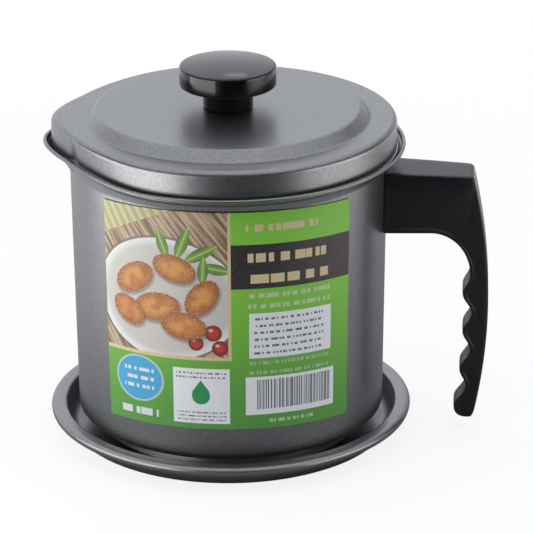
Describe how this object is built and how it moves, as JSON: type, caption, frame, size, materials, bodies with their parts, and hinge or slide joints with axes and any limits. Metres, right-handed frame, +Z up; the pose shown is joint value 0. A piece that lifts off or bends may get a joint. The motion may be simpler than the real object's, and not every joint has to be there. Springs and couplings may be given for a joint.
{
  "type": "oil storage pot",
  "caption": "Coated steel grease pot with a pouring spout, lift-out mesh strainer, lid with round knob, finger-grooved handle and drip tray.",
  "frame": {"origin": "centre of the drip tray's flat underside, on the pot's axis, on the table", "axes": "+Z up along the pot's axis, +X towards the handle, -X towards the spout, the label faces -Y"},
  "size_m": [0.1773, 0.1456, 0.153],
  "materials": {
    "coated_steel": "satin metallic grey fluororesin coating with fine grain",
    "knob_plastic": "glossy black moulded plastic",
    "grip_plastic": "semi-gloss black moulded plastic",
    "stainless": "bright stainless sheet and wire",
    "zinc_steel": "zinc-plated steel",
    "brass": "turned brass",
    "label_film": null
  },
  "bodies": {
    "tray": {"drip_tray": "coated_steel"},
    "pot": {"pot_body": "coated_steel", "front_label": "label_film", "handle_bracket": "zinc_steel", "bracket_weld_nut": "zinc_steel", "handle": "grip_plastic", "handle_screw": "zinc_steel"},
    "strainer": {"strainer_frame": "stainless", "strainer_mesh": "stainless", "mesh_clamp_ring": "stainless"},
    "lid": {"lid": "coated_steel", "knob_washer": "zinc_steel", "knob_screw": "zinc_steel", "lid_knob": "knob_plastic", "knob_insert": "brass"}
  },
  "joints": [
    {"name": "pot_lift", "type": "slide", "parent": "tray", "child": "pot", "axis": [0, 0, 1], "range_m": [0, 0.06]},
    {"name": "strainer_lift", "type": "slide", "parent": "pot", "child": "strainer", "axis": [0, 0, 1], "range_m": [0, 0.07]},
    {"name": "lid_lift", "type": "slide", "parent": "strainer", "child": "lid", "axis": [0, 0, 1], "range_m": [0, 0.05]}
  ]
}
